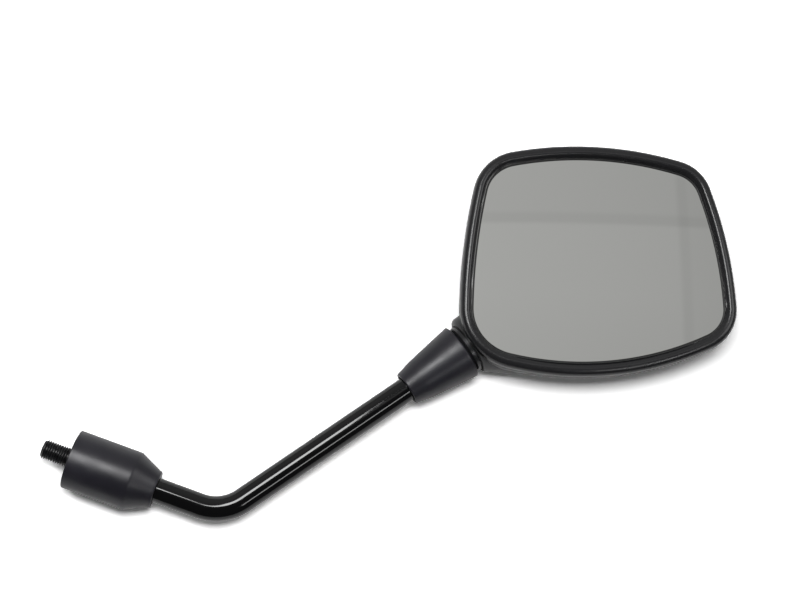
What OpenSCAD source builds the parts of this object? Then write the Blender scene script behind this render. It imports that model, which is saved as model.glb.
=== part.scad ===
// Motorcycle mirror: threaded stud, bent steel stem with two rubber covers,
// ball joint in the neck of the head, and a convex glass in a moulded head.
// Millimetres. The origin is on the stud's axis at the adapter's seat face,
// and +Z runs up the stem. The glass faces -Y.

/* [Stem] */
// Diameter of the stem rod
rod_d = 12; // [10:0.5:14]
// Height of the bend's corner above the seat face
stub_len = 82; // [74:1:110]
// Angle of the bend away from the stud's axis
bend_angle = 54.5; // [30:0.5:65]
// Radius of the bend at the rod's centre line
bend_radius = 24; // [18:1:30]
// Length from the bend's corner to the centre of the ball
arm_len = 165; // [140:1:200]

/* [Stud and adapter] */
// Thread diameter of the stud and of the stem's lower end
stud_d = 10; // [8:0.5:10]
// Length of the stud below the seat face
stud_len = 15; // [10:0.5:25]
// Width across flats of the adapter and of the lock nut
hex_af = 17; // [16:0.5:19]
// Height of the adapter's hexagon
adapter_h = 14; // [12:0.5:18]
// Thickness of the split washer
washer_t = 2.2; // [1.5:0.1:3]
// Height of the lock nut
nut_h = 8; // [5:0.5:9]
// Depth of the stem's thread in the adapter
thread_depth = 10; // [7:0.5:11]
// Bare thread above the lock nut
thread_spare = 2; // [1:0.5:4]

/* [Lower cover] */
// Outer diameter of the lower cover
lower_d = 30; // [28:0.5:34]
// Diameter of the lower cover at its small end
lower_small_d = 18.4; // [17:0.2:22]
// Length of the lower cover's straight part
lower_straight = 33; // [30:0.5:40]
// Length of the lower cover's cone
lower_cone = 11.6; // [9:0.2:16]
// Wall of the lower cover
lower_wall = 3.4; // [2:0.1:3.6]
// Height of the lower cover's open end above the seat face
lower_lift = 0.4; // [0.2:0.1:1.5]

/* [Upper cover] */
// Diameter of the upper cover at its small end
upper_small_d = 16.4; // [15.6:0.2:18]
// Diameter of the upper cover at its wide end
upper_wide_d = 28.2; // [27:0.2:29]
// Length of the upper cover, small end to the ball's centre
upper_reach = 51; // [46:0.5:60]
// Wall of the upper cover
upper_wall = 2.6; // [2:0.1:3]

/* [Ball joint] */
// Diameter of the ball
ball_d = 14; // [13:0.5:15]
// Diameter of the ball stud's neck and shank
neck_d = 8; // [7:0.5:8.5]
// Depth of the ball stud's shank in the rod
shank_len = 14; // [10:0.5:20]
// Thickness of the nylon liners
liner_t = 1.4; // [1.2:0.1:1.6]
// Wall of the cups beyond the liners' outer sphere
cup_wall = 2.1; // [1.8:0.1:2.4]
// Tilt of the head each way on either axis of the ball joint
tilt_limit = 12; // [6:1:13]
// Wall of the socket block's tube
block_wall = 1.5; // [1.2:0.1:1.8]
// Outer diameter of the neck collar
collar_d = 26; // [25.4:0.2:27]
// Thickness of the neck collar's flange at its rim
collar_t = 2.8; // [2:0.1:3.2]
// Distance from the ball's centre to the collar's inner face
collar_seat = 11.6; // [11:0.1:12.4]
// Thickness of one disc spring
spring_t = 1; // [0.8:0.1:1.2]
// Cone height of one disc spring
spring_cone = 0.5; // [0.3:0.1:0.7]
// Thickness of the thrust washer
thrust_t = 1.2; // [1:0.1:1.6]

/* [Head] */
// Width of the head along its lower edge
head_w = 143; // [130:1:160]
// Height of the head
head_h = 120.5; // [110:0.5:130]
// Distance from the ball's centre to the middle of the head
head_reach = 67; // [62:0.5:76]
// Angle from the head's lower edge to the arm
head_turn = 34.5; // [25:0.5:45]
// Height of the seam between shell and bezel in front of the arm's axis
seam_h = 14.5; // [14.3:0.1:16]
// Depth of the shell behind the seam
shell_depth = 32.5; // [31:0.5:38]
// Wall of the shell
shell_wall = 2.4; // [2:0.1:3]
// Fullness of the shell's section, where 2 is an ellipse
shell_fullness = 2.5; // [2.2:0.1:3]
// Outer diameter of the shell's neck, on its straight side
boss_d = 35.6; // [34:0.2:38]
// Spread of the neck towards the head's lower edge, per length along the arm
boss_flare = 0.67; // [0:0.01:0.8]
// Screw diameter of the socket block
screw_d = 4; // [3.5:0.1:4.5]

/* [Head outline] */
// Radius of the upper right corner
corner_tr = 22.5; // [16:0.5:30]
// Radius of the upper left corner
corner_tl = 25; // [18:0.5:32]
// Radius of the lower left corner
corner_bl = 31.5; // [25:0.5:36]
// Radius of the lower right corner
corner_br = 23; // [16:0.5:30]
// Radius of the bowed left side
bow_left = 320; // [250:5:500]
// Radius of the bowed lower side
bow_bottom = 161; // [140:1:190]

/* [Bezel and glass] */
// Width of the bezel's bead
bead_w = 7; // [6:0.1:8]
// Height of the bead's crest above the seam
bead_h = 6; // [5.4:0.1:7]
// Height of the glass's front face above the seam, in its middle
glass_h = 4; // [3.6:0.1:4.6]
// Thickness of the glass
glass_t = 2; // [1.6:0.1:2.4]
// Radius of curvature of the convex glass
glass_r = 1400; // [1000:50:2000]
// Thickness of the backing plate
backing_t = 1.2; // [1:0.1:1.4]

/* [Hidden] */

// Clearances: threads and bores that turn or slide, spherical faces, dry gaps
run_gap = 0.05;
sphere_gap = 0.06;
face_gap = 0.4;
seam_gap = 0.15;
$fn = 72;

// Stem
rod_r = rod_d / 2;
stud_r = stud_d / 2;
stud_tip = 1;
washer_z = adapter_h + run_gap;
nut_z = washer_z + washer_t;
rod_z = nut_z + nut_h + thread_spare;
bend_tangent = bend_radius * tan(bend_angle / 2);
bend_overlap = 0.4;
bend_thin = 0.03;
stub_top = stub_len - bend_tangent;
ball_at = [-arm_len * sin(bend_angle), 0, stub_len + arm_len * cos(bend_angle)];

// Lower cover
lower_r = lower_d / 2;
lower_small_r = lower_small_d / 2;
lower_shoulder = lower_lift + lower_straight;
lower_top = lower_shoulder + lower_cone + 1.2;
lower_bore = rod_r + run_gap;

// Ball joint, measured from the ball's centre along the arm
ball_r = ball_d / 2;
neck_r = neck_d / 2;
liner_in = ball_r + sphere_gap;
liner_out = liner_in + liner_t;
cup_in = liner_out + sphere_gap;
cup_r = cup_in + cup_wall;
bore_r = cup_r + run_gap;
block_r = bore_r + block_wall;
liner_edge = 74;
cup_edge = 1.5;
cone_limit = acos(cos(tilt_limit) * cos(tilt_limit)) + 1;
seat_back = collar_seat - 3;
clamp_back = cup_in + 1.6;
spring_z = clamp_back + thrust_t;
spring_stack = 2 * (spring_t + spring_cone);
bore_end = spring_z + spring_stack;
block_end = bore_end + 2.6;
collar_r = collar_d / 2;
collar_edge = collar_seat + collar_t;
dome_r = norm([collar_r, collar_edge]);
mouth_r = dome_r + face_gap;
rod_end = mouth_r + 1;
arm_straight = arm_len - bend_tangent - rod_end;

// Upper cover, also from the ball's centre
upper_small_r = upper_small_d / 2;
upper_wide_r = upper_wide_d / 2;
upper_round = 1.8;
upper_grip = 5;
upper_bell = 2.4;

// Head: heights are in front of the arm's axis
glass_w = seam_h + glass_h;
boss_r = boss_d / 2;
neck_face = collar_seat + 1;
boss_bore = block_r + 0.2;
boss_depth = block_r + 4.2;
boss_ball = mouth_r - 0.3;
boss_tail = 14;
glass_in = bead_w - 1;
seal_in = bead_w - 1.7;
seal_lip = 0.6;
stack_gap = 0.05;
pad_t = 0.8;
pad_top = -glass_t - stack_gap;
backing_top = pad_top - pad_t - stack_gap;
ledge_top = backing_top - backing_t - stack_gap;
ledge_t = 1.2;
ledge_in = seal_in + 0.4;
lug_w = 1;
lug_t = 3;
lug_r = 4.2;
lug_side = [block_r + 4.6, 12];
lug_tail = [0, block_end + lug_r];
screw_r = screw_d / 2;
screw_len = 6;
post_top = lug_w - lug_t;
focus_back = 36;
flat_share = 0.08;

// Outline: eight arcs, each tangent to the next, anticlockwise from the right
turns = [16.5, 54.5, 27.5, 66, 11.5, 78, 38.5];
first_heading = 92.5;
headings = [for (i = 0, a = first_heading; i <= 8; a = a + (i < 7 ? turns[i] : 0), i = i + 1)
    i < 8 ? a : first_heading + 360];
function chord(i) = [sin(headings[i + 1]) - sin(headings[i]),
    cos(headings[i]) - cos(headings[i + 1])];
known = corner_tr * chord(1) + corner_tl * chord(3) + bow_left * chord(4)
    + corner_bl * chord(5) + bow_bottom * chord(6) + corner_br * chord(7);
closing = chord(0)[0] * chord(2)[1] - chord(0)[1] * chord(2)[0];
bow_right = (chord(2)[0] * known[1] - chord(2)[1] * known[0]) / closing;
bow_top = (chord(0)[1] * known[0] - chord(0)[0] * known[1]) / closing;
radii = [bow_right, corner_tr, bow_top, corner_tl, bow_left, corner_bl, bow_bottom, corner_br];
starts = [for (i = 0, p = [0, 0]; i < 8; p = p + radii[i] * chord(i), i = i + 1) p];
arc_steps = [8, 12, 8, 14, 6, 16, 10, 14];
raw = [for (i = [0:7], k = [0:arc_steps[i] - 1])
    let (h = headings[i] + (headings[i + 1] - headings[i]) * k / arc_steps[i])
    [starts[i] + radii[i] * [sin(h) - sin(headings[i]), cos(headings[i]) - cos(h)], h]];
raw_x = [for (p = raw) p[0][0]];
raw_y = [for (p = raw) p[0][1]];
raw_mid = [max(raw_x) + min(raw_x), max(raw_y) + min(raw_y)] / 2;
fit_x = head_w / (max(raw_x) - min(raw_x));
fit_y = head_h / (max(raw_y) - min(raw_y));
head_mid = head_reach * [cos(head_turn), sin(head_turn)];
outline = [for (p = raw) head_mid
    + [(p[0][0] - raw_mid[0]) * fit_x, (p[0][1] - raw_mid[1]) * fit_y]];
normals = [for (p = raw) let (n = [fit_y * sin(p[1]), -fit_x * cos(p[1])]) n / norm(n)];
count = len(outline);
focus = head_mid - focus_back * [cos(head_turn), sin(head_turn)];

// Drop of the convex glass below its middle
function glass_drop(p) = glass_r - sqrt(glass_r * glass_r - pow(norm(p - head_mid), 2));
// Outline moved in by a distance
function inset(d) = [for (i = [0:count - 1]) outline[i] - d * normals[i]];
// Outline moved in and drawn towards the focus, at one height
function level(d, w, k = 1) = [for (p = inset(d)) [each (focus + k * (p - focus)), w]];
// Outline moved in and laid a height above the glass's front face
function on_glass(d, h, k = 1) = [for (p = inset(d))
    let (q = head_mid + k * (p - head_mid)) [each q, glass_w + h - glass_drop(q)]];
// Arc of a profile about the ball's centre, angles from the stem's side
function ball_arc(r, from, to, steps = 12) = [for (i = [0:steps])
    let (a = from + (to - from) * i / steps) [r * sin(a), -r * cos(a)]];
function flip(points) = [for (p = points) [p[0], -p[1]]];
// Skin through rings of equal point count, with flat ends
module loft(rings) {
    n = len(rings[0]);
    polyhedron(
        points = [for (r = rings) each r],
        faces = concat(
            [for (j = [0:len(rings) - 2], i = [0:n - 1])
                [j * n + i, (j + 1) * n + i, (j + 1) * n + (i + 1) % n]],
            [for (j = [0:len(rings) - 2], i = [0:n - 1])
                [j * n + i, (j + 1) * n + (i + 1) % n, j * n + (i + 1) % n]],
            [[for (i = [0:n - 1]) i],
                [for (i = [n - 1:-1:0]) (len(rings) - 1) * n + i]]),
        convexity = 6);
}

// Skin through rings that close on themselves, such as a bead round the outline
module loop(rings) {
    n = len(rings[0]);
    m = len(rings);
    polyhedron(
        points = [for (r = rings) each r],
        faces = concat(
            [for (j = [0:m - 1], i = [0:n - 1])
                [j * n + i, ((j + 1) % m) * n + i, ((j + 1) % m) * n + (i + 1) % n]],
            [for (j = [0:m - 1], i = [0:n - 1])
                [j * n + i, ((j + 1) % m) * n + (i + 1) % n, j * n + (i + 1) % n]]),
        convexity = 6);
}

// Places what is modelled about the ball's centre with +Z along the arm
module on_arm() {
    translate(ball_at) rotate([0, -bend_angle, 0]) children();
}

// Places what is modelled in the head's plane, with +Z towards the rider
module on_head() {
    on_arm() rotate([0, head_turn - 90, 0]) rotate([90, 0, 0]) children();
}

module hexagon(h, chamfer) {
    corner = hex_af / 2 / cos(30);
    intersection() {
        cylinder(h = h, r = corner, $fn = 6);
        rotate_extrude() polygon([[0, 0], [hex_af / 2, 0], [corner, chamfer],
            [corner, h - chamfer], [hex_af / 2, h], [0, h]]);
    }
}

module stud_adapter() {
    color("dimgray") {
        difference() {
            hexagon(adapter_h, 0.8);
            translate([0, 0, adapter_h - thread_depth - 1])
                cylinder(h = thread_depth + 2, r = stud_r + run_gap);
        }
        rotate_extrude() polygon([[0, 0.5], [stud_r, 0.5], [stud_r, stud_tip - stud_len],
            [stud_r - stud_tip, -stud_len], [0, -stud_len]]);
    }
}

module lock_washer() {
    color("silver") translate([0, 0, washer_z]) difference() {
        cylinder(h = washer_t, r = hex_af / 2 - 0.4);
        translate([0, 0, -1]) cylinder(h = washer_t + 2, r = stud_r + run_gap);
        rotate([12, 0, 0]) translate([0, -0.6, -3]) cube([hex_af, 1.2, washer_t + 6]);
    }
}

module lock_nut() {
    color("silver") translate([0, 0, nut_z]) difference() {
        hexagon(nut_h, 0.8);
        translate([0, 0, -1]) cylinder(h = nut_h + 2, r = stud_r + run_gap);
    }
}

module stem_rod() {
    color("black") {
        translate([0, 0, adapter_h - thread_depth]) cylinder(h = rod_z, r = stud_r);
        translate([0, 0, rod_z]) cylinder(h = stub_top - rod_z, r = rod_r);
        translate([-bend_radius, 0, stub_top]) {
            rotate([90, 0, 0]) rotate_extrude(angle = bend_angle, $fn = 96)
                translate([bend_radius, 0]) circle(r = rod_r - bend_thin);
            rotate([0, -bend_angle, 0]) translate([bend_radius, 0, 0]) difference() {
                translate([0, 0, -bend_overlap]) cylinder(h = arm_straight + bend_overlap, r = rod_r);
                translate([0, 0, arm_straight - shank_len - 1])
                    cylinder(h = shank_len + 2, r = neck_r + run_gap);
            }
        }
    }
}

module ball_stud() {
    color("silver") on_arm() {
        sphere(r = ball_r, $fn = 96);
        translate([0, 0, -rod_end - shank_len])
            cylinder(h = rod_end + shank_len - ball_r * 0.5, r = neck_r);
    }
}

module lower_cover() {
    color([0.13, 0.13, 0.14]) rotate_extrude($fn = 96) polygon([
        [lower_r - lower_wall, lower_lift], [lower_r - 0.4, lower_lift],
        [lower_r, lower_lift + 0.4], [lower_r, lower_shoulder - 0.8],
        [lower_r - 0.25, lower_shoulder + 0.2],
        [lower_small_r + 0.3, lower_top - 1.2], [lower_small_r, lower_top - 0.5],
        [lower_small_r - 0.7, lower_top], [lower_bore + 0.5, lower_top],
        [lower_bore, lower_top - 0.5], [lower_bore, lower_shoulder + 0.4],
        [lower_r - lower_wall, lower_shoulder - 5]]);
}

module upper_cover() {
    mouth_in = upper_wide_r - upper_wall - upper_round;
    lip = upper_wide_r - upper_round;
    face = function (r) -sqrt(mouth_r * mouth_r - r * r);
    color([0.14, 0.14, 0.16]) on_arm() rotate_extrude($fn = 96) polygon(concat(
        [[rod_r + 0.9, -upper_reach], [upper_small_r - 0.6, -upper_reach],
            [upper_small_r, 0.7 - upper_reach], [upper_small_r + 0.7, upper_bell - upper_reach],
            [upper_small_r + 2.1, upper_bell + 6.6 - upper_reach]],
        [for (a = [0:15:90]) [lip + upper_round * cos(a),
            face(lip) - upper_round + upper_round * sin(a)]],
        [for (r = [lip - 0.5:-1:mouth_in]) [r, face(r)]],
        [[mouth_in, face(mouth_in)], [rod_r + 2.2, -mouth_r - 9],
            [rod_r + run_gap, upper_bell + upper_grip + 3 - upper_reach],
            [rod_r + run_gap, upper_bell + 0.6 - upper_reach],
            [rod_r + 0.9, upper_bell - upper_reach]]));
}

module rear_liner() {
    hole = asin((neck_r + 0.15) / liner_in);
    color("ivory") on_arm() rotate_extrude($fn = 96) polygon(concat(
        ball_arc(liner_in, hole, liner_edge), ball_arc(liner_out, liner_edge, hole)));
}

module front_liner() {
    color("ivory") on_arm() rotate_extrude($fn = 96) polygon(flip(concat(
        ball_arc(liner_in, 0, liner_edge), ball_arc(liner_out, liner_edge, 0))));
}

// Radius that clears the tilted neck of the ball stud at a distance back
function neck_sweep(z) = z * tan(cone_limit) + neck_r / cos(cone_limit) + 0.2;

module neck_collar() {
    open_at = cone_limit + asin((neck_r + 0.2) / dome_r);
    dome_at = asin(collar_r / dome_r);
    color([0.09, 0.09, 0.09]) on_arm() rotate_extrude($fn = 96) polygon(concat(
        [[neck_sweep(seat_back), -seat_back], [cup_r, -seat_back], [cup_r, -collar_seat],
            [collar_r, -collar_seat]],
        ball_arc(dome_r, dome_at, open_at, 6)));
}

module socket_seat() {
    open_at = cone_limit + asin((neck_r + 0.2) / cup_in);
    color("gainsboro") on_arm() rotate_extrude($fn = 96) polygon(concat(
        [[cup_r, -cup_edge], [cup_r, -seat_back], [neck_sweep(seat_back), -seat_back]],
        ball_arc(cup_in, open_at, acos(cup_edge / cup_in))));
}

module clamp_cup() {
    color("gainsboro") on_arm() rotate_extrude($fn = 96) polygon(flip(concat(
        [[cup_r, -cup_edge], [cup_r, -clamp_back], [0, -clamp_back]],
        ball_arc(cup_in, 0, acos(cup_edge / cup_in)))));
}

module thrust_washer() {
    color("silver") on_arm() translate([0, 0, clamp_back]) difference() {
        cylinder(h = thrust_t, r = cup_r - 0.2);
        translate([0, 0, -1]) cylinder(h = thrust_t + 2, r = 3);
    }
}

module disc_springs() {
    inner = cup_r * 0.5;
    outer = cup_r - 0.3;
    color("slategray") on_arm() translate([0, 0, spring_z]) {
        rotate_extrude() polygon([[inner, spring_cone], [outer, 0],
            [outer, spring_t], [inner, spring_t + spring_cone]]);
        translate([0, 0, spring_t + spring_cone]) rotate_extrude() polygon([[inner, 0],
            [outer, spring_cone], [outer, spring_t + spring_cone], [inner, spring_t]]);
    }
}

// Centres of the socket block's screws, across and along the arm
lugs = [[lug_side[0], lug_side[1]], [-lug_side[0], lug_side[1]], lug_tail];

module at_lugs() {
    for (p = lugs) translate([p[0], 0, p[1]]) rotate([90, 0, 0]) children();
}

module socket_block() {
    color("darkgray") on_arm() difference() {
        union() {
            translate([0, 0, -collar_seat]) cylinder(h = collar_seat + block_end, r = block_r);
            at_lugs() translate([0, 0, lug_w - lug_t]) cylinder(h = lug_t, r = lug_r);
            translate([-lug_side[0], -lug_w, lug_side[1] - lug_r])
                cube([2 * lug_side[0], lug_t, 2 * lug_r]);
            translate([-lug_r, -lug_w, block_end - 3]) cube([2 * lug_r, lug_t, lug_tail[1] - block_end + 3]);
        }
        translate([0, 0, -collar_seat - 1]) cylinder(h = collar_seat + bore_end + 1, r = bore_r);
        at_lugs() translate([0, 0, lug_w - lug_t - 1]) cylinder(h = lug_t + 2, r = screw_r + 0.2);
    }
}

module block_screws() {
    color("silver") on_arm() at_lugs() {
        translate([0, 0, lug_w - lug_t - screw_len]) cylinder(h = lug_t + screw_len + 0.5, r = screw_r);
        translate([0, 0, lug_w]) rotate_extrude() polygon([[0, 0], [screw_r * 1.9, 0],
            [screw_r * 1.9, 1.2], [screw_r * 1.4, 2.2], [0, 2.4]]);
    }
}

// Bowl from a flat spot at the back up to the seam, moved in by a wall
function bowl(d, angles) = [level(d, seam_h - shell_depth + d, flat_share),
    each [for (a = angles) level(d, seam_h - (shell_depth - d) * pow(sin(a), 2 / shell_fullness),
        pow(cos(a), 2 / shell_fullness))]];

// Reach of the neck from the arm's axis at a distance along it, on its
// straight side, on its flared side and in depth
function neck_side(z) = min(boss_r, sqrt(boss_ball * boss_ball - pow(min(z, 0), 2)));
function neck_flare(z) = max(neck_side(z), neck_side(-neck_face) + boss_flare * (z + neck_face));
function neck_deep(z) = min(boss_depth, neck_side(z));
function neck_ring(z, d = 0) = let (a = neck_side(z) - d, b = neck_flare(z) - d, c = neck_deep(z) - d)
    [for (t = [0:5:355]) [(b - a) / 2 + (a + b) / 2 * cos(t), c * sin(t), z]];

// Outside of the neck, cut off below the bezel
module neck_boss() {
    intersection() {
        on_arm() loft([neck_ring(-neck_face, 0.9), neck_ring(0.25 - neck_face, 0.3),
            for (z = [0.9, 2.6, 4.6, 7.6, 12.6, 17.6, 22.6]) neck_ring(z - neck_face),
            neck_ring(boss_tail, 4)]);
        on_head() translate([-boss_d * 2, -boss_d * 2, seam_h - boss_d * 2]) cube(boss_d * 4 * [1, 1, 0.5]);
    }
}

module housing_shell() {
    color([0.12, 0.12, 0.12]) difference() {
        union() {
            on_head() loft(bowl(0, [80:-10:0]));
            neck_boss();
        }
        difference() {
            on_head() loft(concat(bowl(shell_wall, [80:-10:10]),
                [on_glass(shell_wall, ledge_top - ledge_t), on_glass(ledge_in, ledge_top - ledge_t),
                    on_glass(ledge_in, ledge_top), on_glass(shell_wall, ledge_top),
                    level(shell_wall, seam_h + 1)]));
            on_arm() at_lugs() translate([0, 0, post_top - shell_depth])
                cylinder(h = shell_depth, r = lug_r);
        }
        on_arm() translate([0, 0, -neck_face - 1])
            cylinder(h = neck_face + block_end + 1 + face_gap, r = boss_bore);
        on_arm() translate([0, 0, -neck_face - 3])
            cylinder(h = neck_face + 3 - collar_seat + face_gap, r = collar_r + face_gap);
        on_arm() at_lugs() translate([0, 0, post_top - screw_len - face_gap])
            cylinder(h = screw_len + 2, r = screw_r + run_gap);
    }
}

module bezel_ring() {
    color([0.08, 0.08, 0.08]) on_head() loop([
        level(0.4, seam_h + seam_gap), level(0, seam_h + 0.7), level(0.1, seam_h + 2),
        level(0.8, seam_h + 3.9), level(2, seam_h + bead_h - 0.7), level(3.4, seam_h + bead_h),
        level(4.8, seam_h + bead_h - 0.4), level(6, seam_h + bead_h - 1.4),
        on_glass(bead_w - 0.2, seal_lip + 0.8), on_glass(bead_w, seal_lip + 0.1),
        on_glass(seal_in - 0.05, seal_lip + 0.1), on_glass(seal_in - 0.05, pad_top),
        on_glass(shell_wall + 1.9, backing_top + stack_gap),
        on_glass(shell_wall + 1.9, ledge_top + stack_gap),
        on_glass(shell_wall + seam_gap, ledge_top + stack_gap),
        level(shell_wall + seam_gap, seam_h + seam_gap)]);
}

module glass_seal() {
    color([0.05, 0.05, 0.05]) on_head() loop([
        on_glass(seal_in, seal_lip), on_glass(bead_w + 0.2, seal_lip),
        on_glass(bead_w + 0.7, stack_gap + 0.1), on_glass(bead_w + 0.6, stack_gap),
        on_glass(glass_in - stack_gap, stack_gap), on_glass(glass_in - stack_gap, pad_top),
        on_glass(seal_in, pad_top)]);
}

// Plate that follows the convex glass, between two heights below its face
module dished(edge, top, bottom) {
    shares = [0.1, 0.55, 1];
    on_head() loft(concat([for (k = shares) on_glass(edge, bottom, k)],
        [for (i = [2:-1:0]) on_glass(edge, top, shares[i])]));
}

module mirror_glass() {
    color([0.6, 0.6, 0.58]) dished(glass_in, 0, -glass_t);
}

module foam_pad() {
    color([0.2, 0.2, 0.2]) dished(bead_w + 2, pad_top, pad_top - pad_t);
}

module backing_plate() {
    color([0.15, 0.15, 0.15]) dished(shell_wall + 2.2, backing_top, backing_top - backing_t);
}

stud_adapter();
lock_washer();
lock_nut();
stem_rod();
ball_stud();
lower_cover();
upper_cover();
rear_liner();
front_liner();
neck_collar();
socket_seat();
clamp_cup();
thrust_washer();
disc_springs();
socket_block();
block_screws();
housing_shell();
bezel_ring();
glass_seal();
mirror_glass();
foam_pad();
backing_plate();
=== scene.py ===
"""Looks for the motorcycle mirror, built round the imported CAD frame.

Sizes are in millimetres, in the axes of part.scad, and to_m turns points into the frame's metres.
The camera, the lamps and the card are placed in the photograph's own frame, LYING.
"""
import math

import bmesh
import bpy
import numpy as np
from mathutils import Matrix, Vector


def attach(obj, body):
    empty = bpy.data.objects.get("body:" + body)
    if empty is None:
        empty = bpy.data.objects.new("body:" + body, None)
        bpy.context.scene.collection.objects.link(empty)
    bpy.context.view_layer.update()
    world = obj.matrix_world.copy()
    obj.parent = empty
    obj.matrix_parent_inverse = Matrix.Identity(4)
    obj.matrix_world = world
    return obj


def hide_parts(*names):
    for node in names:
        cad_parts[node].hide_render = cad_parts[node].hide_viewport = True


MM = 0.001
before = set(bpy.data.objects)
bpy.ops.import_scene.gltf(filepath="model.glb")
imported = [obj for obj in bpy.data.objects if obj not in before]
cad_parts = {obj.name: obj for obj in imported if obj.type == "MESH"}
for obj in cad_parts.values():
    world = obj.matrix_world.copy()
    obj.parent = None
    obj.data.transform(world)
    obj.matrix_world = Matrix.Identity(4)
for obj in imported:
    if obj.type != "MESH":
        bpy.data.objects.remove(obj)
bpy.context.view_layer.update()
scene = bpy.context.scene
scene.view_settings.view_transform = "Standard"

# ---- sizes in millimetres. Axes and lengths are those of part.scad. A second reading of the
# photograph gives the rod and the covers radii 0.3 to 0.8 mm above those of the solids, and the
# neck one 1.5 mm below. The head is 0.5 mm wider and 1 mm taller than the solid one, and stands
# HEAD_SHIFT right and up of it, which makes up for the solids' bend, 0.55 degrees short. Lathe
# profiles start NEAR_AXIS, and bores have PLAY.
NEAR_AXIS, PLAY = 0.001, 0.05
STUD_R, STUD_LEN, STUD_ROOT, STUD_CHAMFER = 5.0, 15.0, 1.0, 1.0
PITCH, ISO_DEPTH = 1.25, 0.6134
HEX_AF, HEX_FACE_IN, HEX_TURNED, ADAPTER_H, THREAD_DEPTH = 17.0, 0.3, 0.9, 14.0, 10.0
SINK_DEPTH, SINK_OUT, SINK_ABOVE = 0.6, 0.9, 0.5
ROD_R, STUB_LEN, BEND, BEND_R, ARM_LEN, ROD_Z = 6.4, 82.0, 54.5, 24.0, 165.0, 26.25
ROD_EDGE = ((0.5, 0.0), (0.12, 0.14), (0.0, 0.6))
FOOT_IN, FOOT_LEN, FOOT_CHAMFER, DRILL_R, DRILL_DEPTH = 0.8, 2.2, 0.8, 4.05, 13.5
LOWER_R, LOWER_SMALL_R, LOWER_WALL = 15.3, 9.6, 3.4
LOWER_LIFT, LOWER_SHOULDER, LOWER_TOP = 0.4, 33.4, 46.2
UPPER_SMALL_R, UPPER_WIDE_R, UPPER_REACH, UPPER_WALL, UPPER_ROUND = 9.0, 14.8, 51.0, 2.6, 1.8
COLLAR_R, COLLAR_SEAT, COLLAR_T, BLOCK_R, BLOCK_END = 13.0, 11.6, 2.8, 12.17, 17.92
FACE_GAP, BLOCK_GAP = 0.4, 0.2
MOUTH_R = math.hypot(COLLAR_R, COLLAR_SEAT + COLLAR_T) + FACE_GAP
# the upper cover's mouth stands this far back, so that its look clears the rim at full tilt
MOUTH_BACK = 0.5
BOSS_R, BOSS_FLARE, BOSS_DEPTH, BOSS_BACK, NECK_FACE = 16.3, 0.8, 16.37, 0.3, 12.6
SEAM, SHELL_DEPTH, SHELL_WALL, FULL, FLAT = 14.5, 32.5, 2.4, 2.5, 0.08
BEAD_W, BEAD_MORE, GLASS_H, GLASS_T, GLASS_R = 6.3, 0.1, 4.0, 2.0, 1400.0
HEAD_TURN, HEAD_W, HEAD_H, HEAD_REACH, FOCUS_BACK = 34.5, 143.5, 121.5, 67.0, 36.0
HEAD_SHIFT = (0.85, -1.75)
# the head's outline: eight tangent arcs, from the right side's foot round by the top
CORNERS = (22.5, 25.0, 31.5, 23.0)
BOW_LEFT, BOW_BOTTOM = 320.0, 161.0
FIRST_HEADING, TURNS = 92.5, (16.5, 54.5, 27.5, 66.0, 11.5, 78.0, 38.5)
ARC_STEPS = (8, 12, 8, 14, 6, 16, 10, 14)
THREAD_SIDES, ROD_SIDES, NECK_SIDES, COVER_SIDES = 72, 96, 144, 192

# ---- the frames that the pieces are built in
bend_rad, turn_rad = math.radians(BEND), math.radians(HEAD_TURN)
STEM = Matrix.Identity(4)
BALL = Vector((-ARM_LEN * math.sin(bend_rad), 0, STUB_LEN + ARM_LEN * math.cos(bend_rad)))
ARM = Matrix.Translation(BALL) @ Matrix.Rotation(math.radians(-BEND), 4, "Y")
HEAD = (ARM @ Matrix.Rotation(math.radians(HEAD_TURN - 90), 4, "Y")
        @ Matrix.Rotation(math.radians(90), 4, "X"))
HEAD_MID = HEAD_REACH * np.array((math.cos(turn_rad), math.sin(turn_rad))) + HEAD_SHIFT
FOCUS = HEAD_MID - FOCUS_BACK * np.array((math.cos(turn_rad), math.sin(turn_rad)))
GLASS_W = SEAM + GLASS_H

# The photograph's own frame: +X right, +Y up and +Z towards the camera. In it the stub runs along
# (LIE_COS, -LIE_SIN), and the bend's corner is at BEND_AT.
LIE_SIN, LIE_COS = 0.3432, 0.9393
BEND_AT = (-4.18, -7.47)
to_bend = Matrix.Translation((*BEND_AT, 0))
LYING = Matrix.Translation((0, 0, STUB_LEN)) @ Matrix((
    (-LIE_SIN, -LIE_COS, 0, 0), (0, 0, -1, 0), (LIE_COS, -LIE_SIN, 0, 0), (0, 0, 0, 1))) \
    @ Matrix.Translation((-BEND_AT[0], -BEND_AT[1], 0))


def to_m(matrix, points):
    """Points in a local frame in millimetres, to the row frame in metres."""
    m = np.array(matrix)
    p = np.asarray(points, float)
    return (p @ m[:3, :3].T + m[:3, 3]) * MM


# ---- camera
LENS, SENSOR, CLIP = 90, 36, (0.01, 20)
CAMERA_AT, CAMERA_LOOK, CAMERA_ROLL = (24.8, -88.1, 1020.3), (0.06, 0.185, -1.0), -0.27

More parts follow.
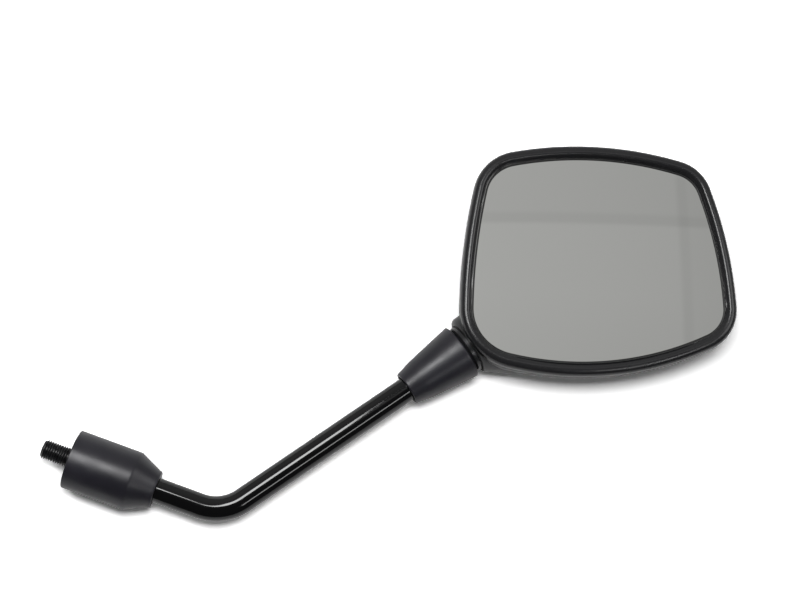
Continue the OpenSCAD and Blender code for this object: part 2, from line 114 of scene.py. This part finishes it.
cam_data = bpy.data.cameras.new("camera")
cam_data.lens, cam_data.sensor_width = LENS, SENSOR
cam_data.clip_start, cam_data.clip_end = CLIP
cam_data.dof.use_dof = False
camera = bpy.data.objects.new("camera", cam_data)
scene.collection.objects.link(camera)
scene.camera = camera
look = Vector(CAMERA_LOOK).normalized()
right = look.cross(Vector((0, 1, 0))).normalized()
axes = Matrix((right, right.cross(look), -look)).transposed().to_4x4()
roll = to_bend @ Matrix.Rotation(math.radians(CAMERA_ROLL), 4, "Z") @ to_bend.inverted()
camera.matrix_world = Matrix.Scale(MM, 4) @ LYING @ roll @ Matrix.Translation(CAMERA_AT) @ axes
camera.scale = (1, 1, 1)

# ---- materials
# the parts of a noise texture's range that vary and tint spread over theirs
VARY_SPAN, TINT_SPAN = (0.35, 0.65), (0.3, 0.7)


def material(name, base, rough, metallic=0.0, ior=1.5):
    m = bpy.data.materials.new(name)
    m.use_nodes = True
    b = m.node_tree.nodes["Principled BSDF"]
    b.inputs["Base Color"].default_value = (*base, 1)
    b.inputs["Roughness"].default_value = rough
    b.inputs["Metallic"].default_value = metallic
    b.inputs["IOR"].default_value = ior
    return m


def bare(owner, kind):
    """Empties the node tree of a material or world, and returns its new output node."""
    owner.use_nodes = True
    owner.node_tree.nodes.clear()
    return node(owner, kind)


def node(owner, kind, **values):
    n = owner.node_tree.nodes.new(kind)
    for k, v in values.items():
        if k in n.inputs:
            n.inputs[k].default_value = v
        else:
            setattr(n, k, v)
    return n


def wire(owner, a, out, b, into):
    owner.node_tree.links.new(a.outputs[out], b.inputs[into])


def noise(m, scale, detail):
    n = node(m, "ShaderNodeTexNoise", Scale=scale, Detail=detail)
    wire(m, node(m, "ShaderNodeTexCoord"), "Object", n, "Vector")
    return n


def spread(owner, source, out, span, onto, **values):
    """A Map Range node that takes a source from one span of values onto another."""
    r = node(owner, "ShaderNodeMapRange", **values)
    for socket, value in zip(("From Min", "From Max", "To Min", "To Max"), (*span, *onto)):
        r.inputs[socket].default_value = value
    wire(owner, source, out, r, "Value")
    return r


def vary(m, source, low, high):
    """Drives the roughness between two values with a texture."""
    r = spread(m, source, 0, VARY_SPAN, (low, high))
    wire(m, r, "Result", m.node_tree.nodes["Principled BSDF"], "Roughness")


def tint(m, source, dark, light):
    """Drives the base colour between two colours with a texture."""
    r = node(m, "ShaderNodeValToRGB")
    for element, place, colour in zip(r.color_ramp.elements, TINT_SPAN, (dark, light)):
        element.position, element.color = place, (*colour, 1)
    wire(m, source, 0, r, "Fac")
    wire(m, r, "Color", m.node_tree.nodes["Principled BSDF"], "Base Color")


def bumps(m, *layers):
    """Stacked bump layers of (texture, distance in metres, strength)."""
    last = None
    for tex, distance, strength in layers:
        b = node(m, "ShaderNodeBump", Distance=distance, Strength=strength)
        wire(m, tex, 0, b, "Height")
        if last:
            wire(m, last, "Normal", b, "Normal")
        last = b
    wire(m, last, "Normal", m.node_tree.nodes["Principled BSDF"], "Normal")


rubber = material("soft_rubber", (0.018, 0.019, 0.023), 0.36)
tint(rubber, noise(rubber, 35, 3), (0.009, 0.0085, 0.0125), (0.015, 0.0145, 0.020))
vary(rubber, noise(rubber, 120, 4), 0.33, 0.41)
bumps(rubber, (noise(rubber, 2600, 2), 0.00004, 0.25), (noise(rubber, 220, 3), 0.0001, 0.12))

paint = material("gloss_black_paint", (0.0015, 0.0015, 0.0018), 0.08)
bumps(paint, (noise(paint, 420, 2), 0.00003, 0.12))
vary(paint, noise(paint, 150, 4), 0.06, 0.10)

plastic = material("black_plastic", (0.010, 0.010, 0.011), 0.38)
vary(plastic, noise(plastic, 90, 4), 0.34, 0.44)
bumps(plastic, (noise(plastic, 3200, 2), 0.00003, 0.20))

rim_plastic = material("rim_plastic", (0.012, 0.012, 0.013), 0.24)
vary(rim_plastic, noise(rim_plastic, 60, 4), 0.21, 0.28)
bumps(rim_plastic, (noise(rim_plastic, 2800, 2), 0.00002, 0.15))

seal_rubber = material("seal_rubber", (0.006, 0.006, 0.006), 0.5)
bumps(seal_rubber, (noise(seal_rubber, 900, 2), 0.00003, 0.2))

black_steel = material("black_steel", (0.006, 0.006, 0.007), 0.30, ior=1.55)
vary(black_steel, noise(black_steel, 300, 4), 0.22, 0.42)
bumps(black_steel, (noise(black_steel, 1500, 3), 0.00003, 0.25))

zinc = material("zinc_steel", (0.62, 0.62, 0.60), 0.34, metallic=1.0)
tint(zinc, noise(zinc, 60, 4), (0.50, 0.50, 0.48), (0.68, 0.68, 0.66))
vary(zinc, noise(zinc, 400, 3), 0.28, 0.42)

spring = material("spring_steel", (0.25, 0.25, 0.27), 0.35, metallic=1.0)
vary(spring, noise(spring, 400, 3), 0.28, 0.42)

nylon = material("nylon", (0.78, 0.76, 0.70), 0.45)
tint(nylon, noise(nylon, 90, 3), (0.72, 0.70, 0.63), (0.80, 0.78, 0.72))

alloy = material("cast_alloy", (0.55, 0.55, 0.56), 0.5, metallic=1.0)
vary(alloy, noise(alloy, 500, 4), 0.42, 0.62)
bumps(alloy, (noise(alloy, 1400, 4), 0.00008, 0.35))

foam = material("foam", (0.04, 0.04, 0.04), 0.9)
bumps(foam, (noise(foam, 2500, 3), 0.0002, 0.5))

backing = material("backing", (0.03, 0.03, 0.03), 0.6)
bumps(backing, (noise(backing, 2000, 2), 0.00005, 0.3))

mirror = material("mirror", (0.60, 0.605, 0.583), 0.015, metallic=1.0)
vary(mirror, noise(mirror, 30, 3), 0.010, 0.030)

CAD_LOOKS = {
    "stud_adapter": black_steel, "lock_washer": zinc, "lock_nut": zinc, "stem_rod": paint,
    "lower_cover": rubber, "upper_cover": rubber, "ball_stud": zinc, "rear_liner": nylon,
    "front_liner": nylon, "neck_collar": rim_plastic, "socket_seat": zinc, "clamp_cup": zinc,
    "thrust_washer": zinc, "disc_springs": spring, "socket_block": alloy, "block_screws": zinc,
    "housing_shell": plastic, "bezel_ring": rim_plastic, "glass_seal": seal_rubber,
    "mirror_glass": mirror, "foam_pad": foam, "backing_plate": backing}
for name, m in CAD_LOOKS.items():
    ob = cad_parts[name]
    ob.data.materials.clear()
    ob.data.materials.append(m)


# ---- tools for the fine meshes
def skin(rings, wrap=False):
    """Vertices and faces through rings of equal point count, closed by caps or by wrapping."""
    n, m = len(rings[0]), len(rings)
    faces = []
    for j in range(m if wrap else m - 1):
        a, b = j * n, (j + 1) % m * n
        faces += [(a + i, b + i, b + (i + 1) % n, a + (i + 1) % n) for i in range(n)]
    if not wrap:
        faces += [tuple(range(n)), tuple((m - 1) * n + i for i in reversed(range(n)))]
    return np.vstack(rings), faces


def fillet(points, steps):
    """Polygon of (x, y, radius) corners, rounded."""
    out = []
    n = len(points)
    for i, (x, y, r) in enumerate(points):
        p = np.array((x, y), float)
        if not r:
            out.append(p)
            continue
        a = np.array(points[i - 1][:2], float) - p
        b = np.array(points[(i + 1) % n][:2], float) - p
        la, lb = np.linalg.norm(a), np.linalg.norm(b)
        a, b = a / la, b / lb
        half = math.acos(max(-1, min(1, float(a @ b)))) / 2
        t = min(r / math.tan(half), la * 0.49, lb * 0.49)
        r = t * math.tan(half)
        mid = p + (a + b) / np.linalg.norm(a + b) * (r / math.sin(half))
        p1, p2 = p + a * t - mid, p + b * t - mid
        total = math.acos(max(-1, min(1, float(p1 @ p2) / (r * r))))
        side = 1 if p1[0] * p2[1] - p1[1] * p2[0] > 0 else -1
        for k in range(steps + 1):
            g = side * total * k / steps
            c, d = math.cos(g), math.sin(g)
            out.append(mid + np.array((p1[0] * c - p1[1] * d, p1[0] * d + p1[1] * c)))
    return out


def circle(n):
    """The angles of n points round a circle, in radians."""
    return np.arange(n) * 2 * math.pi / n


def lathe(profile, n=128):
    """Closed (radius, height) profile turned about the local Z axis."""
    t = circle(n)
    rings = [np.stack((r * np.cos(t), r * np.sin(t), np.full(n, z)), 1) for r, z in profile]
    return skin(rings, wrap=True)


def shade(ob, sharp):
    ob.data.shade_smooth()
    ob.data.set_sharp_from_angle(angle=math.radians(sharp))


def piece(name, shape, matrix, look, sharp=35.0):
    """A smooth mesh object from millimetres in a local frame; edges past sharp degrees stay."""
    verts, faces = shape
    me = bpy.data.meshes.new(name)
    me.from_pydata([tuple(v) for v in to_m(matrix, verts)], [], faces)
    bm = bmesh.new()
    bm.from_mesh(me)
    bmesh.ops.remove_doubles(bm, verts=bm.verts, dist=2e-7)
    bmesh.ops.dissolve_degenerate(bm, dist=1e-7, edges=bm.edges)
    bmesh.ops.recalc_face_normals(bm, faces=bm.faces)
    bm.to_mesh(me)
    bm.free()
    me.materials.append(look)
    ob = bpy.data.objects.new(name, me)
    scene.collection.objects.link(ob)
    shade(ob, sharp)
    return ob


def cut(ob, other, kind):
    """Applies a boolean with another object and removes that object."""
    mod = ob.modifiers.new("cut", "BOOLEAN")
    mod.operation, mod.solver, mod.object = kind, "EXACT", other
    deps = bpy.context.evaluated_depsgraph_get()
    me = bpy.data.meshes.new_from_object(ob.evaluated_get(deps))
    ob.modifiers.clear()
    old = ob.data
    ob.data = me
    bpy.data.meshes.remove(old)
    gone = other.data
    bpy.data.objects.remove(other)
    bpy.data.meshes.remove(gone)


def put(ob, body, slot, *nodes):
    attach(ob, body)
    if nodes:
        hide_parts(*nodes)


def thread(r, top, bottom, chamfer):
    """Helical 60 degree thread about Z; the grid follows the helix, so crests stay sharp."""
    n, depth = THREAD_SIDES, ISO_DEPTH * PITCH
    turn = ((0, r), (0.125, r), (0.31, r - 0.5 * depth), (0.49, r - depth * 0.97),
            (0.5625, r - depth), (0.635, r - depth * 0.97), (0.82, r - 0.5 * depth))
    m = len(turn)
    count = int((top - bottom) / PITCH + 3) * m
    verts, faces = [], []
    for i in range(n):
        t = 2 * math.pi * i / n
        for j in range(count + 1):
            share, radius = turn[j % m]
            z = top + PITCH - (j // m + share) * PITCH - PITCH * i / n
            z = min(max(z, bottom), top)
            radius = min(radius, r - chamfer + (z - bottom))
            verts.append((radius * math.cos(t), radius * math.sin(t), z))
    w = count + 1
    for i in range(n):
        shift = m if i == n - 1 else 0
        k = (i + 1) % n
        for j in range(count):
            if j + 1 + shift <= count:
                faces.append((i * w + j, i * w + j + 1, k * w + j + 1 + shift, k * w + j + shift))
    faces.append(tuple(i * w + count for i in range(n)))
    return np.array(verts), faces


def outline_at(steps):
    """The head's outline and its outward normals, with each arc in steps times its CAD pieces."""
    h = np.radians(np.cumsum((FIRST_HEADING,) + TURNS))
    h = np.append(h, math.radians(FIRST_HEADING + 360))
    chord = np.stack((np.sin(h[1:]) - np.sin(h[:-1]), np.cos(h[:-1]) - np.cos(h[1:])), 1)
    tr, tl, bl, br = CORNERS
    known = (tr * chord[1] + tl * chord[3] + BOW_LEFT * chord[4] + bl * chord[5]
             + BOW_BOTTOM * chord[6] + br * chord[7])
    closing = chord[0][0] * chord[2][1] - chord[0][1] * chord[2][0]
    right_r = (chord[2][0] * known[1] - chord[2][1] * known[0]) / closing
    top_r = (chord[0][1] * known[0] - chord[0][0] * known[1]) / closing
    radii = (right_r, tr, top_r, tl, BOW_LEFT, bl, BOW_BOTTOM, br)
    pts, heads, p = [], [], np.zeros(2)
    for i, r in enumerate(radii):
        k = np.arange(ARC_STEPS[i] * steps) / (ARC_STEPS[i] * steps)
        g = h[i] + (h[i + 1] - h[i]) * k
        pts.append(p + r * np.stack((np.sin(g) - math.sin(h[i]), math.cos(h[i]) - np.cos(g)), 1))
        heads.append(g)
        p = p + r * chord[i]
    raw, g = np.vstack(pts), np.concatenate(heads)
    low, high = raw.min(0), raw.max(0)
    fit = np.array((HEAD_W, HEAD_H)) / (high - low)
    normal = np.stack((fit[1] * np.sin(g), -fit[0] * np.cos(g)), 1)
    normal /= np.linalg.norm(normal, axis=1)[:, None]
    return HEAD_MID + (raw - (low + high) / 2) * fit, normal


class Rim:
    """Rings round the head, each arc of the outline in steps times its CAD pieces."""

    def __init__(self, steps):
        self.points, self.normals = outline_at(steps)

    def inset(self, d):
        """The outline moved in by d, and by BEAD_MORE more at top and bottom."""
        return self.points - d * self.normals * (1, 1 + BEAD_MORE)

    def level(self, d, w, k=1.0):
        """The inset outline at height w, drawn in to the share k about FOCUS."""
        p = FOCUS + k * (self.inset(d) - FOCUS)
        return np.column_stack((p, np.full(len(p), w)))

    def on_glass(self, d, h, k=1.0):
        """The inset outline h above the convex glass, drawn in to the share k about its middle."""
        p = HEAD_MID + k * (self.inset(d) - HEAD_MID)
        drop = GLASS_R - np.sqrt(GLASS_R ** 2 - ((p - HEAD_MID) ** 2).sum(1))
        return np.column_stack((p, GLASS_W + h - drop))

    def bowl(self, d, angles):
        """Rings up the head's back, from its flat middle to the seam."""
        power = 2 / FULL
        out = [self.level(d, SEAM - SHELL_DEPTH + d, FLAT)]
        for a in np.radians(angles):
            height = SEAM - (SHELL_DEPTH - d) * math.sin(a) ** power
            out.append(self.level(d, height, math.cos(a) ** power))
        return out


fine, coarse = Rim(4), Rim(1)

# ---- stud and adapter: a hexagon with turned corners, and a true M10 x 1.25 thread
hex_corner = HEX_AF / 2 / math.cos(math.radians(30))
six = np.radians(np.arange(6) * 60)
hexagon = piece("stud_thread", skin([
    np.stack((hex_corner * np.cos(six), hex_corner * np.sin(six), np.full(6, z)), 1)
    for z in (0.0, ADAPTER_H)]), STEM, black_steel)
dome = piece("dome", lathe([
    (NEAR_AXIS, 0), (HEX_AF / 2 - HEX_FACE_IN, 0), (hex_corner, HEX_TURNED),
    (hex_corner, ADAPTER_H - HEX_TURNED), (HEX_AF / 2 - HEX_FACE_IN, ADAPTER_H),
    (NEAR_AXIS, ADAPTER_H)]), STEM, black_steel)
cut(hexagon, dome, "INTERSECT")
bore = piece("bore", lathe([
    (NEAR_AXIS, ADAPTER_H - THREAD_DEPTH), (STUD_R + PLAY, ADAPTER_H - THREAD_DEPTH),
    (STUD_R + PLAY, ADAPTER_H - SINK_DEPTH), (STUD_R + SINK_OUT, ADAPTER_H + SINK_ABOVE),
    (NEAR_AXIS, ADAPTER_H + SINK_ABOVE)]), STEM, black_steel)
cut(hexagon, bore, "DIFFERENCE")
stud = piece("stud", thread(STUD_R, STUD_ROOT, -STUD_LEN, STUD_CHAMFER), STEM, black_steel)
for ob in (hexagon, stud):
    shade(ob, 28)
put(hexagon, "adapter", "black_steel", "stud_adapter")
put(stud, "adapter", "black_steel")


# ---- rod: threaded foot, straight stub, bend, arm and drilled end
def rod_ring(r, z, angle=0.0, run=0.0):
    """A ring of the rod, z up the stub, angle degrees round the bend and run along the arm."""
    t = circle(ROD_SIDES)
    a = math.radians(angle)
    centre = np.array((BEND_R * (math.cos(a) - 1) - run * math.sin(a), 0,
                       z + BEND_R * math.sin(a) + run * math.cos(a)))
    side = np.array((math.cos(a), 0, math.sin(a)))
    return centre + r * (np.cos(t)[:, None] * side + np.sin(t)[:, None] * np.array((0, 1, 0)))


bend_tangent = BEND_R * math.tan(math.radians(BEND / 2))
stub_top = STUB_LEN - bend_tangent
rod_end = ARM_LEN - bend_tangent - MOUTH_R - 1
rings = [rod_ring(STUD_R - FOOT_IN, ROD_Z - e) for e in (FOOT_LEN, 0.0)]
rings += [rod_ring(ROD_R - d, ROD_Z + e) for d, e in ROD_EDGE]
rings += [rod_ring(ROD_R, ROD_Z + 4)]
rings += [rod_ring(ROD_R, z) for z in np.linspace(ROD_Z + 8, stub_top - 1, 8)]
rings += [rod_ring(ROD_R, stub_top, a) for a in np.linspace(0, BEND, 57)]
rings += [rod_ring(ROD_R, stub_top, BEND, r) for r in np.linspace(1.5, rod_end - 1.2, 24)]
rings += [rod_ring(ROD_R - d, stub_top, BEND, rod_end - e) for d, e in reversed(ROD_EDGE)]
rings += [rod_ring(DRILL_R, stub_top, BEND, rod_end - e) for e in (0.0, DRILL_DEPTH)]
rod = piece("rod", skin(rings), STEM, paint, 50)
foot = piece("rod_thread", thread(STUD_R, ROD_Z, ADAPTER_H - THREAD_DEPTH + PLAY, FOOT_CHAMFER),
             STEM, paint, 28)
put(rod, "stem", "gloss_black", "stem_rod")
put(foot, "stem", "gloss_black")

# ---- covers; the third number of a corner is its rounding
bore_r = ROD_R + PLAY
lower = piece("lower_cover_skin", lathe(fillet([
    (LOWER_R - LOWER_WALL, LOWER_LIFT, 0.35), (LOWER_R, LOWER_LIFT, 0.45),
    (LOWER_R, LOWER_SHOULDER - 0.1, 3.0), (LOWER_SMALL_R + 0.15, LOWER_TOP - 1.0, 2.2),
    (LOWER_SMALL_R - 0.1, LOWER_TOP, 0.9), (bore_r, LOWER_TOP, 0.5),
    (bore_r, LOWER_SHOULDER + 0.4, 0), (LOWER_R - LOWER_WALL, LOWER_SHOULDER - 5, 2.0)],
    7), COVER_SIDES), STEM, rubber, 60)
put(lower, "lower_cover", "soft_rubber", "lower_cover")

lip = UPPER_WIDE_R - UPPER_ROUND
mouth_in = lip - UPPER_WALL


def mouth(r):
    """The height of the upper cover's domed mouth at a radius."""
    return -math.sqrt((MOUTH_R + MOUTH_BACK) ** 2 - r * r)


upper_profile = fillet([
    (ROD_R + 0.9, -UPPER_REACH, 0.3), (UPPER_SMALL_R - 0.05, -UPPER_REACH, 0.7),
    (UPPER_SMALL_R + 0.25, -UPPER_REACH + 1.6, 1.5),
    (UPPER_SMALL_R + 1.95, -UPPER_REACH + 8.6, 14),
    (UPPER_WIDE_R, mouth(lip) - UPPER_ROUND, 6), (UPPER_WIDE_R, mouth(lip) - 0.1, 1.6)], 8)[:-1]
upper_profile += [np.array((r, mouth(r))) for r in np.linspace(lip, mouth_in, 6)]
upper_profile += [np.array(p) for p in (
    (ROD_R + 2.2, -MOUTH_R - 9), (bore_r, -UPPER_REACH + 10.4), (bore_r, -UPPER_REACH + 3),
    (ROD_R + 0.9, -UPPER_REACH + 2.4))]
upper = piece("upper_cover_skin", lathe(upper_profile, COVER_SIDES), ARM, rubber, 60)
put(upper, "upper_cover", "soft_rubber", "upper_cover")

# ---- housing: bowl and neck, hollowed and bored for the ball joint
BOWL_ANGLES = [86, 82, 78] + list(np.arange(74, 2, -3.0)) + [1.2]
NECK_EDGE = ((0.0, 0.9), (0.08, 0.5), (0.3, 0.2))
NECK_RISE = (0.7, 1.4, 2.2, 3, 4, 5, 6, 7, 8, 10, 12, 14, 17, 20)
NECK_INSIDE = ((8, 2), (14, 6))
CUT_SIDE, CUT_DEPTH = 90, 60.0


def neck_side(z):
    return min(BOSS_R, math.sqrt((MOUTH_R - BOSS_BACK) ** 2 - min(z, 0) ** 2))


def neck_ring(z, d=0.0):
    """A ring of the neck at height z, moved in by d, and flared towards the head's middle."""
    side, deep = neck_side(z), min(BOSS_DEPTH, neck_side(z)) - d
    flare = max(side, neck_side(-NECK_FACE) + BOSS_FLARE * (z + NECK_FACE)) - d
    side -= d
    t = circle(NECK_SIDES)
    return np.stack(((flare - side) / 2 + (side + flare) / 2 * np.cos(t), deep * np.sin(t),
                     np.full(NECK_SIDES, z)), 1)


shell = piece("housing", skin(
    fine.bowl(0, BOWL_ANGLES) + [fine.level(0, SEAM - 0.35), fine.level(0.1, SEAM - 0.08),
                                 fine.level(0.35, SEAM)]), HEAD, plastic)
neck = piece("neck", skin(
    [neck_ring(z - NECK_FACE, d) for z, d in NECK_EDGE]
    + [neck_ring(z - NECK_FACE) for z in NECK_RISE]
    + [neck_ring(z, d) for z, d in NECK_INSIDE]), ARM, plastic)
half = piece("half", skin([
    np.array([(-CUT_SIDE, -CUT_SIDE, w), (CUT_SIDE, -CUT_SIDE, w), (CUT_SIDE, CUT_SIDE, w),
              (-CUT_SIDE, CUT_SIDE, w)], float) for w in (-CUT_DEPTH, SEAM - 0.3)]), HEAD, plastic)
cut(neck, half, "INTERSECT")
cut(shell, neck, "UNION")
hollow = piece("hollow", skin(coarse.bowl(SHELL_WALL, range(80, 0, -10))
                              + [coarse.level(SHELL_WALL, SEAM + 1)]), HEAD, plastic)
cut(shell, hollow, "DIFFERENCE")
socket = piece("socket", lathe([
    (NEAR_AXIS, -NECK_FACE - 3), (COLLAR_R + FACE_GAP, -NECK_FACE - 3),
    (COLLAR_R + FACE_GAP, FACE_GAP - COLLAR_SEAT), (BLOCK_R + BLOCK_GAP, FACE_GAP - COLLAR_SEAT),
    (BLOCK_R + BLOCK_GAP, BLOCK_END + FACE_GAP), (NEAR_AXIS, BLOCK_END + FACE_GAP)]), ARM, plastic)
cut(shell, socket, "DIFFERENCE")
shade(shell, 32)
put(shell, "head", "black_plastic", "housing_shell")

# ---- bezel: a broad low bead with a steep outer wall, falling to the glass. Its points are
# insets from the head's outline, with heights above the seam and then above the glass.
BEAD = ((0.42, 0.15), (0.16, 0.22), (0.03, 0.5), (0.0, 1.0), (0.05, 1.9), (0.16, 2.8), (0.36, 3.6),
        (0.66, 4.3), (1.05, 4.85), (1.5, 5.25), (2.0, 5.57), (2.6, 5.82), (3.2, 5.94), (3.8, 5.9),
        (4.3, 5.7), (4.75, 5.35), (5.15, 4.9), (5.5, 4.35))
PAD_TOP = -GLASS_T - 0.05
rings = [fine.level(d, SEAM + w) for d, w in BEAD]
rings += [fine.on_glass(d, h) for d, h in (
    (BEAD_W - 0.5, 2.0), (BEAD_W - 0.25, 1.5), (BEAD_W - 0.1, 1.0), (BEAD_W - 0.08, 0.72),
    (BEAD_W - 0.3, 0.68), (4.6, 0.68), (4.55, PAD_TOP), (SHELL_WALL + 1.9, PAD_TOP - 2.0))]
rings += [fine.level(SHELL_WALL + 0.15, w) for w in (SEAM - 1.5, SEAM + 0.15)]
bezel = piece("bezel", skin(rings, wrap=True), HEAD, rim_plastic, 40)
put(bezel, "head", "gloss_plastic", "bezel_ring")

seal = piece("seal", skin([fine.on_glass(d, h) for d, h in (
    (4.65, 0.55), (BEAD_W - 0.15, 0.62), (BEAD_W + 0.15, 0.58), (BEAD_W + 0.42, 0.46),
    (BEAD_W + 0.6, 0.28), (BEAD_W + 0.68, 0.12), (BEAD_W + 0.62, 0.05), (5.25, 0.05),
    (5.25, PAD_TOP), (4.65, PAD_TOP))], wrap=True), HEAD, seal_rubber, 40)
put(seal, "head", "seal_rubber", "glass_seal")

# ---- glass: convex front, its edge under the seal's lip
edge = BEAD_W + 0.73
front = [fine.on_glass(edge, 0, k) for k in list(np.linspace(0.02, 0.975, 24)) + [0.992, 0.998, 1]]
sides = [fine.on_glass(d, h) for d, h in (
    (edge - 0.25, -0.06), (5.5, -0.35), (5.3, -0.6), (5.3, -GLASS_T + 0.3), (5.6, -GLASS_T))]
rear = [fine.on_glass(5.6, -GLASS_T, k) for k in (0.7, 0.35, 0.05)]
glass = piece("glass", skin(front + sides + rear), HEAD, mirror, 8)
put(glass, "head", "mirror", "mirror_glass")


# ---- stage: the table that the object lies on, the lamps, the card and the room
def quad(name, corners):
    """A face from four points of the row frame in millimetres."""
    me = bpy.data.meshes.new(name)
    me.from_pydata([tuple(p * MM) for p in corners], [], [(0, 1, 2, 3)])
    ob = bpy.data.objects.new(name, me)
    scene.collection.objects.link(ob)
    return ob


# the table touches the backs of the lower cover and of the head
COVER_BACK, HEAD_BACK, TABLE_REACH = Vector((0, 15.05, 20)), Vector((-189, 18.05, 216)), 4000
along = (HEAD_BACK - COVER_BACK).normalized()
across = along.cross(Vector((0, 1, 0))).normalized()
table = quad("table", [COVER_BACK + along * a * TABLE_REACH + across * b * TABLE_REACH
                       for a, b in ((-1, -1), (1, -1), (1, 1), (-1, 1))])
if table.data.polygons[0].normal.y > 0:
    table.data.flip_normals()

# The camera sees the table white but for the object's shadow. It is clear from behind, to shadow
# rays, and to diffuse rays, so that it throws no light back on the object.
white = bpy.data.materials.new("white_table")
out = bare(white, "ShaderNodeOutputMaterial")
path = node(white, "ShaderNodeLightPath")
back = node(white, "ShaderNodeNewGeometry")
shown = node(white, "ShaderNodeBsdfDiffuse", Color=(1.5, 1.5, 1.5, 1))
plain = node(white, "ShaderNodeBsdfDiffuse", Color=(0.80, 0.80, 0.80, 1))
glow = node(white, "ShaderNodeEmission", Color=(1, 1, 1, 1), Strength=0.05)
clear = node(white, "ShaderNodeBsdfTransparent")
seen = node(white, "ShaderNodeAddShader")
by_camera = node(white, "ShaderNodeMixShader")
behind = node(white, "ShaderNodeMath", operation="MAXIMUM")
hidden = node(white, "ShaderNodeMath", operation="MAXIMUM")
pick = node(white, "ShaderNodeMixShader")
for a, o, c, i in ((back, "Backfacing", behind, 0), (path, "Is Shadow Ray", behind, 1),
                   (behind, 0, hidden, 0), (path, "Is Diffuse Ray", hidden, 1),
                   (shown, 0, seen, 0), (glow, 0, seen, 1), (path, "Is Camera Ray", by_camera, 0),
                   (plain, 0, by_camera, 1), (seen, 0, by_camera, 2), (hidden, 0, pick, 0),
                   (by_camera, 0, pick, 1), (clear, 0, pick, 2), (pick, 0, out, "Surface")):
    wire(white, a, o, c, i)
table.data.materials.append(white)


def lamp(name, at, aim, size, radiance, turn=0.0):
    """An area lamp placed and aimed in the photo's frame in millimetres, by its radiance."""
    data = bpy.data.lights.new(name, "AREA")
    data.shape = "RECTANGLE"
    data.size, data.size_y = size[0] * MM, size[1] * MM
    data.energy = radiance * math.pi * data.size * data.size_y
    ob = bpy.data.objects.new(name, data)
    scene.collection.objects.link(ob)
    at, aim = Vector(at), Vector(aim)
    z = (at - aim).normalized()
    x = Vector((0, 1, 0)).cross(z).normalized()
    y = z.cross(x)
    rot = Matrix((x, y, z)).transposed().to_4x4() @ Matrix.Rotation(math.radians(turn), 4, "Z")
    m = LYING @ Matrix.Translation(at) @ rot
    ob.matrix_world = Matrix.Translation(m.translation * MM) @ m.to_3x3().normalized().to_4x4()
    return ob


# two soft lamps light the table and the object, and the other three are seen by the gloss alone
key = lamp("key", (-473, 475, 995), (40, 30, 0), (480, 216), 12.0, turn=34.5)
top = lamp("top", (60, 115, 1140), (60, 40, 0), (420, 260), 27.0)
key.visible_glossy = top.visible_glossy = False
box = lamp("box", (-252, 278, 1000), (60, 40, 0), (496, 330), 13.5, turn=34.5)
strip = lamp("strip", (600, -535, 912), (60, 40, 0), (430, 150), 6.3, turn=44.5)
side = lamp("side", (870, 120, 700), (190, 130, 0), (600, 600), 2.2)
box.visible_diffuse = strip.visible_diffuse = side.visible_diffuse = False

# a pale card that only the mirror and the gloss see; its strength is the product of two ramps of
# (place, level), whose dips are the faint bands in the mirror
CARD_MID, CARD_HALF = Vector((354, 349, 1080)), (276, 238)
CARD_LEVELS = {
    "X": ((0.0, 0.60), (0.5, 0.56), (0.79, 0.535), (0.808, 0.485), (0.828, 0.485), (0.842, 0.505),
          (1.0, 0.485)),
    "Y": ((0.0, 0.97), (0.35, 1.03), (0.63, 1.03), (0.646, 0.92), (0.672, 0.92), (0.69, 0.98),
          (1.0, 0.98))}
card = quad("card", [LYING @ (CARD_MID + Vector((a * CARD_HALF[0], b * CARD_HALF[1], 0)))
                     for a, b in ((-1, -1), (-1, 1), (1, 1), (1, -1))])
card.data.uv_layers.new(name="card")
for loop, uv in zip(card.data.uv_layers["card"].data, ((0, 0), (0, 1), (1, 1), (1, 0))):
    loop.uv = uv
card.visible_camera = card.visible_diffuse = False
card.visible_shadow = card.visible_transmission = False
pale = bpy.data.materials.new("pale_card")
out = bare(pale, "ShaderNodeOutputMaterial")
shine = node(pale, "ShaderNodeEmission", Color=(1, 1, 1, 1))
parts = node(pale, "ShaderNodeSeparateXYZ")
wire(pale, node(pale, "ShaderNodeTexCoord"), "UV", parts, "Vector")
times = node(pale, "ShaderNodeMath", operation="MULTIPLY")
for i, (axis, levels) in enumerate(CARD_LEVELS.items()):
    r = node(pale, "ShaderNodeValToRGB")
    for place, value in levels[1:-1]:
        r.color_ramp.elements.new(place)
    for element, (place, value) in zip(r.color_ramp.elements, levels):
        element.position, element.color = place, (value, value, value, 1)
    wire(pale, parts, axis, r, "Fac")
    wire(pale, r, "Color", times, i)
wire(pale, times, 0, shine, "Strength")
wire(pale, shine, 0, out, "Surface")
card.data.materials.append(pale)

# the room: white to the camera, and to all else a grey that grows lighter towards the photo's top
ROOM_SPAN, ROOM_LEVELS = (-0.2, 0.9), (0.07, 0.42)
world = bpy.data.worlds.new("room")
scene.world = world
out = bare(world, "ShaderNodeOutputWorld")
path = node(world, "ShaderNodeLightPath")
upward = node(world, "ShaderNodeVectorMath", operation="DOT_PRODUCT")
upward.inputs[1].default_value = tuple(LYING.to_3x3() @ Vector((0, 1, 0)))
wire(world, node(world, "ShaderNodeTexCoord"), "Generated", upward, 0)
ramp = spread(world, upward, "Value", ROOM_SPAN, ROOM_LEVELS, interpolation_type="SMOOTHSTEP")
grey, white_room = [node(world, "ShaderNodeBackground", Color=(1, 1, 1, 1)) for _ in range(2)]
wire(world, ramp, "Result", grey, "Strength")
pick = node(world, "ShaderNodeMixShader")
for a, o, c, i in ((path, "Is Camera Ray", pick, 0), (grey, 0, pick, 1), (white_room, 0, pick, 2),
                   (pick, 0, out, "Surface")):
    wire(world, a, o, c, i)
